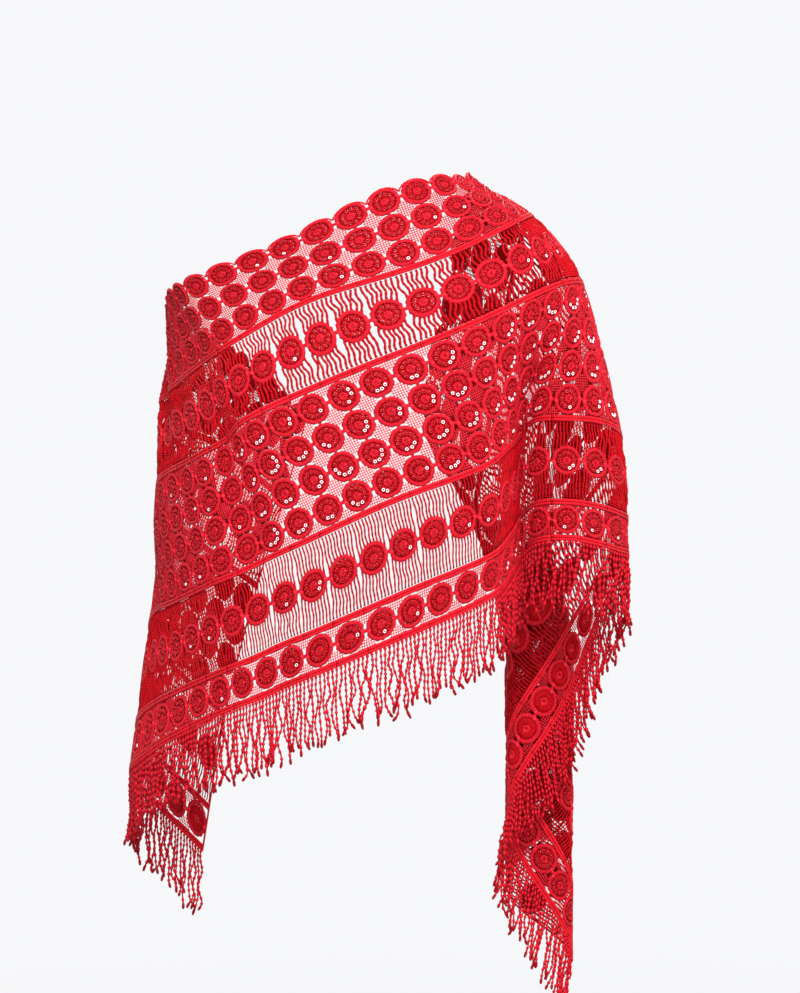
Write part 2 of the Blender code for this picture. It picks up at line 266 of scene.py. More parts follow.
def spline_shares(knots, at):
    """For each place: the four knots that hold it, and their shares, run on straight past the ends."""
    last = len(knots) - 1
    index = np.clip(np.searchsorted(knots, at) - 1, 0, last - 1)
    before = np.maximum(index - 1, 0)
    after = np.minimum(index + 2, last)
    span = knots[index + 1] - knots[index]
    share = (at - knots[index]) / span
    inside = np.clip(share, 0.0, 1.0)
    square = inside * inside
    cube = square * inside
    leave = (cube - 2 * square + inside) * span / (knots[index + 1] - knots[before])
    arrive = (cube - square) * span / (knots[after] - knots[index])
    beyond = share - inside
    return (before, index, index + 1, after), (
        -leave,
        2 * cube - 3 * square + 1 - arrive - beyond,
        3 * square - 2 * cube + leave + beyond,
        arrive,
    )


def worn(column, across):
    """The cloth over the arms and the front, through the sections."""
    table = np.array([row[1:] for row in SECTIONS], dtype=float)
    knots = np.array([row.column for row in SECTIONS])
    rows, row_shares = spline_shares(knots, column)
    levels, level_shares = spline_shares(LEVELS, across)
    point = np.zeros(column.shape + (3,))
    for row, row_share in zip(rows, row_shares):
        for level, level_share in zip(levels, level_shares):
            point += table[row, level] * (row_share * level_share)[..., None]
    return point


def hang(column, across):
    """The loose end: its bias position, then its folds one behind another."""
    along = (column - SHAWL_END) * PITCH
    left = WIDTH - across
    sideways = along * math.sin(BIAS) + left * math.cos(BIAS)
    height = CORNER_Z - along * math.cos(BIAS) + left * math.sin(BIAS)
    middle = 0.5 * (FOLD_LEFT + FOLD_RIGHT)
    swing = 0.5 * (FOLD_RIGHT - FOLD_LEFT)
    folded = middle + swing * np.cos(math.pi * sideways / FOLD)
    toward_arm = np.maximum(0.0, (-FOLD - sideways) / (-FOLD - ARM_SIDE_W))
    open_layer = FOLD_LEFT + (ARM_SIDE_X - FOLD_LEFT) * toward_arm ** OPENING_BEND
    folded += (open_layer - folded) * ease(OPENING_SPEED * toward_arm)
    over_arm = NECK_X + (NECK_W - sideways) * (ARM_SIDE_X - NECK_X) / (NECK_W - ARM_SIDE_W)
    plain = np.where(sideways < NECK_W, over_arm, NECK_X - BACK_SPREAD * (sideways - NECK_W))
    share = ease((PLAIN_Z - height) / (PLAIN_Z - FOLDED_Z))
    depth = LAYER_Y + LAYER_STEP * (sideways + FOLD) - ARM_DIP * toward_arm ** 2
    depth += FOLD_ROUND * np.sin(2.0 * math.pi * sideways / FOLD) * ease(1.0 - toward_arm) * share ** 2
    return np.stack((plain + (folded - plain) * share, depth, height), axis=-1)


def unit(vectors):
    """The same directions, one long."""
    return vectors / np.linalg.norm(vectors, axis=-1, keepdims=True)


def outward(shape, column, across):
    """Unit normals on the side away from the wearer."""
    step = NORMAL_STEP
    run = shape(column + step, across) - shape(column - step, across)
    fall = shape(column, across + step * PITCH) - shape(column, across - step * PITCH)
    return unit(np.cross(fall, run))


def drape(column, across):
    """The cloth's inner side before its gathers and troughs."""
    share = ease((column - HANG_FROM) / (HANG_FULL - HANG_FROM))[..., None]
    return worn(column, across) * (1.0 - share) + hang(column, across) * share


def place(column, across):
    """Points of the cloth's inner side, in millimetres, with its gathers and troughs."""
    offset = np.zeros(column.shape)
    for gather in GATHERS:
        ends = np.minimum(column - gather.first, gather.last - column)
        fade = ease(ends / GATHER_ENDS) * np.clip(1.0 - across / gather.reach, 0.0, None) ** GATHER_TAPER
        offset += gather.depth * fade * np.cos(math.pi * column)
    for trough in TROUGHS:
        nearness = (column - trough.column) / trough.half_width
        deepened = ease((across - trough.start) / TROUGH_FADE)
        offset -= trough.depth * np.exp(-nearness * nearness) * deepened
    return drape(column, across) + outward(drape, column, across) * offset[..., None]


# The form is worked out once on a fine grid, which runs a little past the cloth's four edges, and
# everything sewn in the flat is laid on it. INSIDE_LAST keeps each place within the last cell.
GRID_COLUMN = 1.0 / 10.0
GRID_ACROSS = 3.5
GRID_PAST_ENDS = 0.5
GRID_PAST_EDGE = 10.5
GRID_PAST_HEM = 14.0
INSIDE_LAST = 1.001
grid_columns = np.arange(SHAWL_START - GRID_PAST_ENDS, SHAWL_END + GRID_PAST_ENDS + GRID_COLUMN, GRID_COLUMN)
grid_across = np.arange(-GRID_PAST_EDGE, WIDTH + GRID_PAST_HEM, GRID_ACROSS)
grid = np.meshgrid(grid_columns, grid_across, indexing="ij")
grid_points = place(*grid)
grid_ways = outward(place, *grid)


def lay(column, across, height):
    """Points in metres of the worn cloth, from their place on the flat lace and their height on it."""
    at_column = np.clip((column - grid_columns[0]) / GRID_COLUMN, 0, len(grid_columns) - INSIDE_LAST)
    at_across = np.clip((across - grid_across[0]) / GRID_ACROSS, 0, len(grid_across) - INSIDE_LAST)
    i = at_column.astype(int)
    j = at_across.astype(int)
    s = (at_column - i)[:, None]
    t = (at_across - j)[:, None]
    found = []
    for values in (grid_points, grid_ways):
        upper = values[i, j] * (1 - s) + values[i + 1, j] * s
        lower = values[i, j + 1] * (1 - s) + values[i + 1, j + 1] * s
        found.append(upper * (1 - t) + lower * t)
    return (found[0] + found[1] * height[:, None]) * MM


# ---------------------------------------------------------------------------------------------
# The thread finishes. Everything but the sequins is rayon embroidery thread in one dye. The finishes
# are painted bright where the stitches lie close together, and darker with painted shade where the lace is
# open or twisted.
# ---------------------------------------------------------------------------------------------
# The fuzz of the thread strays the rows of stitches, and shades and lifts them a little; the dye
# took in patches. The hollows between the stitches carry painted shade, and are duller than their crests.
THREAD_FUZZ = 700.0
FUZZ_STRAY = 1.6
FUZZ_SHADE = 0.12
FUZZ_RELIEF = 0.35
DYE_PATCH = 45.0
PATCH_SHADE = 0.45
STITCH_SHADE = 0.62
STITCH_RELIEF = 0.0006
DULL_HOLLOWS = 0.06
GLOSSY_CRESTS = 0.12
THREAD_SHINE = 0.08
SHINE_TINT = (1.0, 0.45, 0.45, 1.0)


def thread_finish(name, bright, deep, stitch, slant, depth, roughness, stitch_shade=STITCH_SHADE):
    """Rows of stitches: they run round each piece by its own stitch map, and shade each other."""
    material, shader, maths = new_material(name, roughness)
    position = maths.take("ShaderNodeUVMap", 0, {"uv_map": "stitches"})
    parts = maths.add("ShaderNodeSeparateXYZ", _0=position)
    along = Node(maths.tree, parts.outputs[0])
    around = Node(maths.tree, parts.outputs[1])
    fuzz = maths.take("ShaderNodeTexNoise", Scale=THREAD_FUZZ, Detail=2.0)
    row = (along * stitch + around * slant + fuzz * FUZZ_STRAY).wave()
    patch = maths.take("ShaderNodeTexNoise", Scale=DYE_PATCH, Detail=2.0)
    # The row wave paints shade into the hollows between the stitches; the dye patches and the fuzz vary the
    # tone at random.
    light = row * stitch_shade + patch * PATCH_SHADE + fuzz * FUZZ_SHADE
    light.between(deep, bright).feed(shader, "Base Color")
    height = row + fuzz * FUZZ_RELIEF
    maths.take("ShaderNodeBump", Strength=depth, Distance=STITCH_RELIEF, Height=height).feed(shader, "Normal")
    dullness = row * -GLOSSY_CRESTS + (roughness + DULL_HOLLOWS)
    dullness.feed(shader, "Roughness")
    shader.inputs["Specular IOR Level"].default_value = THREAD_SHINE
    shader.inputs["Specular Tint"].default_value = SHINE_TINT
    return material


satin_red = thread_finish(
    "satin_red_thread", (0.66, 0.016, 0.031, 1), (0.24, 0.001, 0.004, 1),
    stitch=5.2, slant=0.0, depth=1.0, roughness=0.42)
cord_red = thread_finish(
    "corded_red_thread", (0.66, 0.012, 0.024, 1), (0.19, 0.001, 0.003, 1),
    stitch=3.0, slant=6.0, depth=0.8, roughness=0.44)
# The twisted strands are the same dye, painted darker: painted shade in their twists and the open band.
twist_red = thread_finish(
    "twisted_red_thread", (0.50, 0.004, 0.010, 1), (0.13, 0.0, 0.001, 1),
    stitch=2.6, slant=6.3, depth=0.8, roughness=0.5)
net_red = thread_finish(
    "fine_net_thread", (0.66, 0.022, 0.038, 1), (0.30, 0.003, 0.008, 1),
    stitch=4.0, slant=3.0, depth=0.4, roughness=0.5)
# The ground of the wheels is the same dye, painted dark: painted shade inside the openwork wheel.
painted_shade_red = thread_finish(
    "shaded_ground_thread", (0.36, 0.002, 0.006, 1), (0.12, 0.0, 0.001, 1),
    stitch=4.4, slant=5.0, depth=0.5, roughness=0.55)
# The fringe is the same dye, painted darker: painted shade along the hanging knotted strands.
fringe_red = thread_finish(
    "knotted_fringe_thread", (0.42, 0.007, 0.016, 1), (0.11, 0.0, 0.001, 1),
    stitch=1.0, slant=0.0, depth=0.3, roughness=0.5, stitch_shade=0.8)
LACE_FINISHES = (satin_red, cord_red, twist_red, net_red, painted_shade_red)
SATIN, CORDED, TWISTED, NETTED, SHADED = range(len(LACE_FINISHES))


class Work:
    """Embroidery worked in the flat: shapes are repeated, laid on the form and made one mesh."""

    def __init__(self):
        self.columns = []
        self.across = []
        self.heights = []
        self.stitches = []
        self.faces = []
        self.slots = []
        self.count = 0

    def add(self, shape, places, slot):
        """The shape at each place, a column and a distance across."""
        points, stitches, faces = shape
        places = np.asarray(places, dtype=float).reshape(-1, 2)
        copies = len(places)
        if copies == 0:
            return
        x = np.tile(points[:, 0], copies) / PITCH + np.repeat(places[:, 0], len(points))
        self.columns.append(x)
        self.across.append(np.tile(points[:, 1], copies) + np.repeat(places[:, 1], len(points)))
        self.heights.append(np.tile(points[:, 2], copies))
        self.stitches.append(np.tile(stitches, (copies, 1)))
        steps = np.repeat(np.arange(copies) * len(points), len(faces))[:, None]
        self.faces.append(np.tile(faces, (copies, 1)) + steps + self.count)
        self.slots.append(np.full(copies * len(faces), slot))
        self.count += copies * len(points)

    def piece(self, name, materials):
        """The finished piece, smooth and with its stitch map."""
        columns = np.concatenate(self.columns)
        points = lay(columns, np.concatenate(self.across), np.concatenate(self.heights))
        return make_piece(name, points, np.concatenate(self.faces), np.concatenate(self.stitches),
                          np.concatenate(self.slots), materials)


def make_piece(name, points, faces, stitches, slots, materials):
    """A mesh of four-sided faces from arrays; a triangle repeats its last corner."""
    mesh = bpy.data.meshes.new(name)
    three = faces[:, 2] == faces[:, 3]
    sizes = np.where(three, 3, 4)
    keep = np.ones(faces.shape, dtype=bool)
    keep[:, 3] = ~three
    corners = faces[keep]
    mesh.vertices.add(len(points))
    mesh.vertices.foreach_set("co", points.astype(np.float32).ravel())
    mesh.loops.add(len(corners))
    mesh.loops.foreach_set("vertex_index", corners.astype(np.int32))
    mesh.polygons.add(len(faces))
    starts = np.concatenate(([0], np.cumsum(sizes)[:-1]))
    mesh.polygons.foreach_set("loop_start", starts.astype(np.int32))
    mesh.polygons.foreach_set("material_index", slots.astype(np.int32))
    layer = mesh.uv_layers.new(name="stitches")
    layer.uv.foreach_set("vector", stitches[corners].astype(np.float32).ravel())
    mesh.update(calc_edges=True)
    mesh.validate()
    mesh.shade_smooth()
    for material in materials:
        mesh.materials.append(material)
    item = bpy.data.objects.new(name, mesh)
    bpy.context.scene.collection.objects.link(item)
    return item


# ---------------------------------------------------------------------------------------------
# The medallions: a thick satin-stitched ring round an openwork wheel, worked in rayon thread on
# a net that is washed away afterwards. A small rosette sits in the middle.
# ---------------------------------------------------------------------------------------------
# A profile gives the radius and height of each corner of a ring's section, in order round it.
RING = 16.3
RING_PROFILE = (
    (RING, 0.2), (RING - 0.7, 1.8), (RING - 2.4, 2.8), (RING - 4.1, 1.9), (11.4, 0.2), (RING - 2.5, -0.8),
)
RING_STITCHES = 32
RING_KNOBS = 0.026
RING_UNEVEN = 0.03
RING_STRAY = 0.3
ROSETTE_PROFILE = ((5.0, 0.3), (4.3, 1.6), (3.2, 2.3), (2.3, 1.2), (1.3, 1.9), (0.2, 1.0), (3.0, -0.4))
ROSETTE_STITCHES = 16
ROSETTE_KNOBS = 0.11
ROSETTE_UNEVEN = 0.09
ROSETTE_STRAY = 0.6
# The ground is a thin disc under the spokes and sequins, in the finish with painted shade.
GROUND_PROFILE = ((12.0, 0.45), (4.0, 0.45), (4.0, 0.15), (12.0, 0.15))
GROUND_SIDES = 14
Spoke = namedtuple("Spoke", "radius side height")
SPOKE_POINTS = (Spoke(4.2, -1.0, 1.1), Spoke(8.0, 1.0, 1.25), Spoke(12.0, -1.0, 1.2))
SPOKES = 10
SPOKE_STRAY = 0.2
SPOKE_BEND = 0.08
SPOKE_THREADS = (0.7, 1.1)
SPOKE_SIDES = 3
VARIANTS = 9
draw = np.random.default_rng(3)


def ring_of(profile, segments, middle=(0.0, 0.0), knobs=0.0, uneven=0.0):
    """A closed ring whose cross-section is the profile of radii and heights, knobbly and hand-guided."""
    turns = np.arange(segments) * 2 * math.pi / segments
    radii = np.array([r for r, z in profile])
    heights = np.array([z for r, z in profile])
    swell = 1.0 + knobs * np.cos(np.arange(segments) * math.pi) + uneven * draw.uniform(-1.0, 1.0, segments)
    x = middle[0] + np.outer(np.cos(turns) * swell, radii)
    y = middle[1] + np.outer(np.sin(turns) * swell, radii)
    z = np.broadcast_to(heights, x.shape)
    points = np.stack((x, y, z), axis=-1).reshape(-1, 3)
    rim = np.abs(np.linspace(-1, 1, segments))
    stitches = np.stack((np.repeat(rim, len(profile)) * math.pi * radii.mean(),
                         np.tile(np.arange(len(profile)), segments)), axis=-1)
    faces = []
    for turn in range(segments):
        for side in range(len(profile)):
            a = turn * len(profile) + side
            b = turn * len(profile) + (side + 1) % len(profile)
            c = (turn + 1) % segments * len(profile) + side
            d = (turn + 1) % segments * len(profile) + (side + 1) % len(profile)
            faces.append((a, c, d, b))
    return points, stitches, np.array(faces)


def thread_along(path, radius, sides, beads=None, lie=None):
    """A round thread along a path. Beads vary its thickness; lie is the way its seam faces."""
    path = np.asarray(path, dtype=float)
    count = len(path)
    beads = np.ones(count) if beads is None else beads
    way = unit(np.gradient(path, axis=0) + 1e-9)
    up = np.array((0.0, 0.0, 1.0)) if lie is None else lie
    side = unit(np.cross(way, up))
    up = np.cross(side, way)
    turns = np.arange(sides) * 2 * math.pi / sides
    points = path[:, None, :] + (radius * beads)[:, None, None] * (
        np.cos(turns)[None, :, None] * side[:, None, :] + np.sin(turns)[None, :, None] * up[:, None, :])
    length = np.concatenate(([0.0], np.cumsum(np.linalg.norm(np.diff(path, axis=0), axis=1))))
    stitches = np.stack((np.repeat(length, sides), np.tile(np.arange(sides) / sides, count)), axis=-1)
    faces = []
    for step in range(count - 1):
        for turn in range(sides):
            a = step * sides + turn
            b = step * sides + (turn + 1) % sides
            faces.append((a, a + sides, b + sides, b))
    for base, order in ((0, 1), ((count - 1) * sides, -1)):
        ends = [base + turn for turn in range(sides)][::order]
        for turn in range(1, sides - 1, 2):
            last = ends[min(turn + 2, sides - 1)]
            faces.append((ends[0], ends[turn], ends[turn + 1], last))
    return points.reshape(-1, 3), stitches, np.array(faces)


def together(shapes):
    """Several shapes as one."""
    points, stitches, faces = [], [], []
    count = 0
    for shape in shapes:
        points.append(shape[0])
        stitches.append(shape[1])
        faces.append(shape[2] + count)
        count += len(shape[0])
    return np.concatenate(points), np.concatenate(stitches), np.concatenate(faces)


def squeeze(shape, share):
    """The shape made shorter across the lace."""
    points, stitches, faces = shape
    return points * np.array((1.0, share, 1.0)), stitches, faces


def off_middle(stray):
    """A middle that the hand has set a little off."""
    return draw.uniform(-stray, stray), draw.uniform(-stray, stray)


medallions = []
for variant in range(VARIANTS):
    satin_ring = ring_of(RING_PROFILE, RING_STITCHES, off_middle(RING_STRAY), RING_KNOBS, RING_UNEVEN)
    wheel = [ring_of(
        ROSETTE_PROFILE, ROSETTE_STITCHES, off_middle(ROSETTE_STRAY), ROSETTE_KNOBS, ROSETTE_UNEVEN)]
    for spoke in range(SPOKES):
        turn = (spoke + 0.5 + draw.uniform(-SPOKE_STRAY, SPOKE_STRAY)) * 2.0 * math.pi / SPOKES
        bend = draw.uniform(-SPOKE_BEND, SPOKE_BEND)
        path = []
        for point in SPOKE_POINTS:
            angle = turn + point.side * bend
            path.append((point.radius * math.cos(angle), point.radius * math.sin(angle), point.height))
        wheel.append(thread_along(path, draw.uniform(*SPOKE_THREADS), SPOKE_SIDES))
    medallions.append((satin_ring, together(wheel), ring_of(GROUND_PROFILE, GROUND_SIDES)))

# The stretches from the end behind the right arm to the loose end, and the rows of medallions
# across them. Those of the three close rows are made shorter, so that they fit.
Stretch = namedtuple("Stretch", "name first last")
STRETCHES = (
    Stretch("right_fall", -20.5, -12.5),
    Stretch("right_arm", -12.5, -7.5),
    Stretch("front", -7.5, 1.5),
    Stretch("left_arm", 1.5, 7.5),
    Stretch("back_fall", 7.5, 14.5),
    Stretch("tail", 14.5, 23.5),
)
TIGHT_ROWS = (15.33, 46.0, 76.67)
ROUND_ROWS = (135.0, 194.5, 227.5, 260.5, 293.5, 358.5, 424.0)
MEDALLION_ROWS = TIGHT_ROWS + ROUND_ROWS
TIGHT = 0.935


def columns_of(stretch):
    """The medallion columns of a stretch."""
    return np.arange(stretch.first + 0.5, stretch.last, 1.0)


def every(columns, rows):
    """Every place where one of the columns meets one of the rows."""
    return [(column, row) for column in columns for row in rows]


works = {stretch.name: Work() for stretch in STRETCHES}
for stretch in STRETCHES:
    work = works[stretch.name]
    for rows, share in ((TIGHT_ROWS, TIGHT), (ROUND_ROWS, 1.0)):
        spots = np.array(every(columns_of(stretch), rows))
        variants = draw.integers(0, VARIANTS, len(spots))
        for variant, (satin_ring, wheel, ground) in enumerate(medallions):
            chosen = spots[variants == variant]
            work.add(squeeze(satin_ring, share), chosen, SATIN)
            work.add(squeeze(wheel, share), chosen, SATIN)
            work.add(squeeze(ground, share), chosen, SHADED)

# ---------------------------------------------------------------------------------------------
# The net between the medallions: fine threads that cross in the hollow diamonds, with an open
# spot at each corner, and short bars that hold neighbouring medallions together.
# ---------------------------------------------------------------------------------------------
# The threads lie NET_STEP apart, so many to each side of the middle one. Each laps onto the rings,
# and is drawn in and shifted a little at its middle. Their heights are at the ends and the middle.
NET_STEP = 2.7
NET_LINES = 3
NET_REACH = 9.6
NET_THREAD = 0.5
NET_SIDES = 3
NET_LAP = 1.6
NET_DRAW = 0.9
NET_SHIFT = 0.25
ALONG_END, ALONG_MIDDLE = 0.7, 0.9
ACROSS_END, ACROSS_MIDDLE = 0.6, 0.8


def net_patch(half_height, share, upper=True, lower=True):
    """Crossing threads between four medallions, or between two of them and a cord."""
    shapes = []
    half_width = 0.5 * PITCH
    for number in range(-NET_LINES, NET_LINES + 1):
        line = number * NET_STEP
        room = RING ** 2 - (max(0.0, half_height - abs(line)) / share) ** 2
        reach = min(NET_REACH, half_width - math.sqrt(max(room, 0.0)) + NET_LAP)
        if (number <= 0 or lower) and (number >= 0 or upper):
            middle = (0.0, line * NET_DRAW + NET_SHIFT, ALONG_MIDDLE)
            path = [(-reach, line, ALONG_END), middle, (reach, line, ALONG_END)]
            shapes.append(thread_along(path, NET_THREAD, NET_SIDES))
        room = RING ** 2 - max(0.0, half_width - abs(line)) ** 2
        reach = min(NET_REACH, half_height - share * math.sqrt(max(room, 0.0)) + NET_LAP)
        top = -reach if upper else 0.0
        bottom = reach if lower else 0.0
        middle = (line * NET_DRAW - NET_SHIFT, 0.5 * (top + bottom), ACROSS_MIDDLE)
        path = [(line, top, ACROSS_END), middle, (line, bottom, ACROSS_END)]
        shapes.append(thread_along(path, NET_THREAD, NET_SIDES))
    return together(shapes)


# The netted bands: their medallion rows, and the line on which the cord above them ends.
Netting = namedtuple("Netting", "first_row step rows start share")
NETTINGS = (
    Netting(15.33, 30.67, 3, 0.0, TIGHT),
    Netting(194.5, 33.0, 4, 178.0, 1.0),
    Netting(424.0, 33.0, 1, 407.0, 1.0),
)
BAR_HALF = 2.0
BAR_HEIGHT = 0.8
SIDE_BAR = 0.9
SIDE_BAR_SIDES = 6
SIDE_BAR_BREADTH = 2.1
DROP_BAR = 1.5
DROP_BAR_SIDES = 4
side_path = [(-BAR_HALF, 0.0, BAR_HEIGHT), (BAR_HALF, 0.0, BAR_HEIGHT)]
side_bar = squeeze(thread_along(side_path, SIDE_BAR, SIDE_BAR_SIDES), SIDE_BAR_BREADTH)
drop_path = [(0.0, -BAR_HALF, BAR_HEIGHT), (0.0, BAR_HALF, BAR_HEIGHT)]
drop_bar = thread_along(drop_path, DROP_BAR, DROP_BAR_SIDES)
for stretch in STRETCHES:
    work = works[stretch.name]
    columns = columns_of(stretch)
    gaps = columns[columns > SHAWL_START + 1.0] - 0.5
    for band in NETTINGS:
        for row in range(band.rows - 1):
            middle = band.first_row + (row + 0.5) * band.step
            work.add(net_patch(0.5 * band.step, band.share), every(gaps, (middle,)), NETTED)
            work.add(drop_bar, every(columns, (middle,)), SATIN)
        low = band.first_row + (band.rows - 0.5) * band.step
        work.add(net_patch(0.5 * band.step, band.share, lower=False), every(gaps, (low,)), NETTED)
        if band.start > 0.0:
            high = band.first_row - 0.5 * band.step
            work.add(net_patch(0.5 * band.step, band.share, upper=False), every(gaps, (high,)), NETTED)
    work.add(side_bar, every(gaps, MEDALLION_ROWS), SATIN)

# ---------------------------------------------------------------------------------------------
# The double cords: two satin cords side by side that part the bands, the fine cord that
# outlines the scallops of the top edge, and the cords that finish the two short ends.
# ---------------------------------------------------------------------------------------------
CORD_LINES = (95.0, 175.0, 313.0, 404.0, 444.0)
CORD = 1.8
CORD_LAP = 0.9
CORD_HEIGHT = 1.4
CORD_BEADS = 0.05
CORD_STEPS = 8
CORD_SIDES = 6
SCALLOP_CORD = 1.0
SCALLOP_RISE = 14.7
SCALLOP_HALF = 18.4
SCALLOP_POINTS = 13
END_CORD = 1.3
END_CORD_TOP = 5.0
END_CORD_POINTS = 66
EDGE_HEIGHT = 0.9
EDGE_SIDES = 5


def level_path(x, y, height):
    """A path at one height on the flat lace."""
    return np.stack(np.broadcast_arrays(x, y, height), axis=-1)


def beaded(amount, points):
    """Thicker and thinner by turns."""
    return 1.0 + amount * np.cos(np.arange(points) * math.pi)


cord_x = np.linspace(-0.5 * PITCH, 0.5 * PITCH, CORD_STEPS + 1)
cord_beads = beaded(CORD_BEADS, CORD_STEPS + 1)
cord_pair = together([
    thread_along(level_path(cord_x, CORD_LAP * side, CORD_HEIGHT), CORD, CORD_SIDES, cord_beads)
    for side in (-CORD, CORD)
])
scallop_x = np.linspace(-0.5 * PITCH, 0.5 * PITCH, SCALLOP_POINTS)
scallop_y = -SCALLOP_RISE * np.sqrt(1.0 - (scallop_x / SCALLOP_HALF) ** 2)
scallop = thread_along(level_path(scallop_x, scallop_y, EDGE_HEIGHT), SCALLOP_CORD, EDGE_SIDES)
for stretch in STRETCHES:
    works[stretch.name].add(cord_pair, every(columns_of(stretch), CORD_LINES), CORDED)
    works[stretch.name].add(scallop, every(columns_of(stretch), TIGHT_ROWS[:1]), CORDED)
end_y = np.linspace(END_CORD_TOP, WIDTH, END_CORD_POINTS)
end_cord = thread_along(level_path(0.0, end_y, EDGE_HEIGHT), END_CORD, EDGE_SIDES)
works["right_fall"].add(end_cord, ((SHAWL_START, 0.0),), CORDED)
works["tail"].add(end_cord, ((SHAWL_END, 0.0),), CORDED)

# ---------------------------------------------------------------------------------------------
# The loose strands of the two open bands: twisted threads left free between a cord and the
# medallions, wavy because they carry nothing, in groups with a wedge of air between them.
# ---------------------------------------------------------------------------------------------
# The strands of a band are so many to a medallion on each side. They start under the cord, are
# drawn in by the share foot, and end under the satin ring.
Open = namedtuple("Open", "start end strands foot sway thickness")
OPEN_BANDS = (Open(98.0, 172.0, 7, 0.84, 1.9, 1.25), Open(316.0, 401.0, 9, 0.93, 0.9, 0.95))
STRAND_STEPS = 10
STRAND_SIDES = 4
STRAND_BEADS = 0.14
STRAND_WAVES = 6.5
STRAND_SWAYS = (0.5, 1.3)
STRAND_GATHER = 1.5
STRAND_PHASE = 0.6
STRAND_HEIGHT = 0.8
STRAND_LIFT = 0.9
LIFT_WAVES = 7.0
UNDER_CORD = 1.0
UNDER_RING = 1.2
FULL_TURN = 6.28
strand_beads = beaded(STRAND_BEADS, STRAND_STEPS)
draw = np.random.default_rng(7)
for stretch in STRETCHES:
    work = works[stretch.name]
    for column in columns_of(stretch):
        for band in OPEN_BANDS:
            middle = 0.5 * (band.start + band.end)
            for edge, sign in ((band.start, -1.0), (band.end, 1.0)):
                turn = draw.uniform(0.0, FULL_TURN)
                for strand in range(band.strands):
                    x = PITCH * ((strand + 0.5) / band.strands - 0.5)
                    foot = x * band.foot
                    join = middle + sign * (math.sqrt(RING ** 2 - foot ** 2) - UNDER_RING)
                    share = np.linspace(0.0, 1.0, STRAND_STEPS)
                    loose = np.sin(math.pi * share)
                    phase = turn + draw.uniform(-STRAND_PHASE, STRAND_PHASE)
                    sway = band.sway * draw.uniform(*STRAND_SWAYS)
                    sway = sway * np.sin(share * STRAND_WAVES + phase) * loose
                    path = np.stack((
                        x + (foot - x) * share ** STRAND_GATHER + sway,
                        edge - sign * UNDER_CORD + (join - edge) * share,
                        STRAND_HEIGHT + STRAND_LIFT * np.sin(share * LIFT_WAVES + phase * 2.0) * loose,
                    ), axis=-1)
                    twisted = thread_along(path, band.thickness, STRAND_SIDES, strand_beads)
                    work.add(twisted, ((column, 0.0),), TWISTED)

# ---------------------------------------------------------------------------------------------
# The stretches of lace, each one piece: satin rings and rosettes, cords, twisted threads and net.
# They are one cloth, embroidered in one run on a ground that is then washed away.
# ---------------------------------------------------------------------------------------------
for stretch in STRETCHES:
    piece = works[stretch.name].piece("lace_cloth_" + stretch.name, LACE_FINISHES)
    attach(piece, "root")
    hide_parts("lace_" + stretch.name)

# ---------------------------------------------------------------------------------------------
# The fringe: twisted threads strung through the hem, knotted every few millimetres, which cling
# to their neighbours in places and end in a longer knot.
# ---------------------------------------------------------------------------------------------
FRINGE = 75.0
FRINGE_STEP = 4.7
FRINGE_LENGTHS = (0.84, 1.02)
HEM_RUN = 20.0
SAG = 0.88
SAG_LOST_AT_END = 0.6
END_FROM = 14.0
END_OVER = 3.0
END_STRAND_WAY = np.array((-0.2, -0.35, -0.9))
DOWN = np.array((0.0, 0.0, -1.0))
# How the strands cling: the sizes of a clump, how far its middle strays, how close its strands
# come, down to which share of their length, and how far their tips splay.
CLUMP_SIZES = (1, 1, 1, 2, 2, 3)
CLUMP_STRAY = 3.0
CLUMP_CLING = (0.1, 0.8)
CLUMP_HOLD = (0.7, 0.88)
TIP_SPLAY = np.array((6.5, 3.5, 1.5))
# How each strand waves, toward and away from the wearer, and to all sides.
OFF_CLOTH = 1.0
SWING = 1.4
SWING_WAVES = 3.0
WAVE = 2.1
WAVE_SPEEDS = (6.0, 16.0)
WAVE_FROM = 3.0
# The thickness of the knots, of the bare thread between them, and of the last knot at the tip.
KNOT_WAY = 6.0
KNOT_PARTS = 3
KNOT = 1.85
BARE = 0.85
KNOT_VARIES = (0.88, 1.12)
TIP = (0.9, 1.6, 1.6, 1.0)
FRINGE_THREAD = 1.0
FRINGE_SIDES = 5
FRINGE_LIE = np.array((0.0, -1.0, 0.05))
FRINGE_POINTS = int(FRINGE / KNOT_WAY) * KNOT_PARTS
draw = np.random.default_rng(11)


def strung_strand(root, way, fall, middle, cling, hold):
    """One knotted strand: it falls from its root, clings to its clump's middle, and ends in a tip."""
    length = FRINGE * draw.uniform(*FRINGE_LENGTHS)
    share = np.linspace(0.0, 1.0, FRINGE_POINTS)[:, None]
    path = root + fall * length * share
    swing = SWING * np.sin(SWING_WAVES * share + draw.uniform(0, FULL_TURN)) * share
    path = path + way * (OFF_CLOTH + swing)
    drift = middle - root
    drift = drift - fall * np.dot(drift, fall)
    path = path + drift * cling * ease(share / hold) ** 2
    wave = draw.uniform(-1.0, 1.0, 3) * np.sin(share * draw.uniform(*WAVE_SPEEDS) + draw.uniform(0, FULL_TURN))
    path = path + wave * WAVE * ease(share * WAVE_FROM)
    splay = draw.uniform(-1.0, 1.0, 3) * TIP_SPLAY
    path = path + splay * np.clip((share - hold) / (1.0 - hold), 0.0, None)
    part = np.arange(FRINGE_POINTS)
    knots = np.where(part % KNOT_PARTS == 1, KNOT, BARE) * draw.uniform(*KNOT_VARIES)
    knots[-len(TIP):] = TIP
    points, stitches, faces = thread_along(path, FRINGE_THREAD, FRINGE_SIDES, knots, FRINGE_LIE)
    turned = (part - 1) * 2.0 * math.pi / KNOT_PARTS + 0.5 * math.pi
    turned[-len(TIP):] = turned[-len(TIP)]
    stitches[:, 0] = np.repeat(turned, FRINGE_SIDES)
    return points, stitches, faces


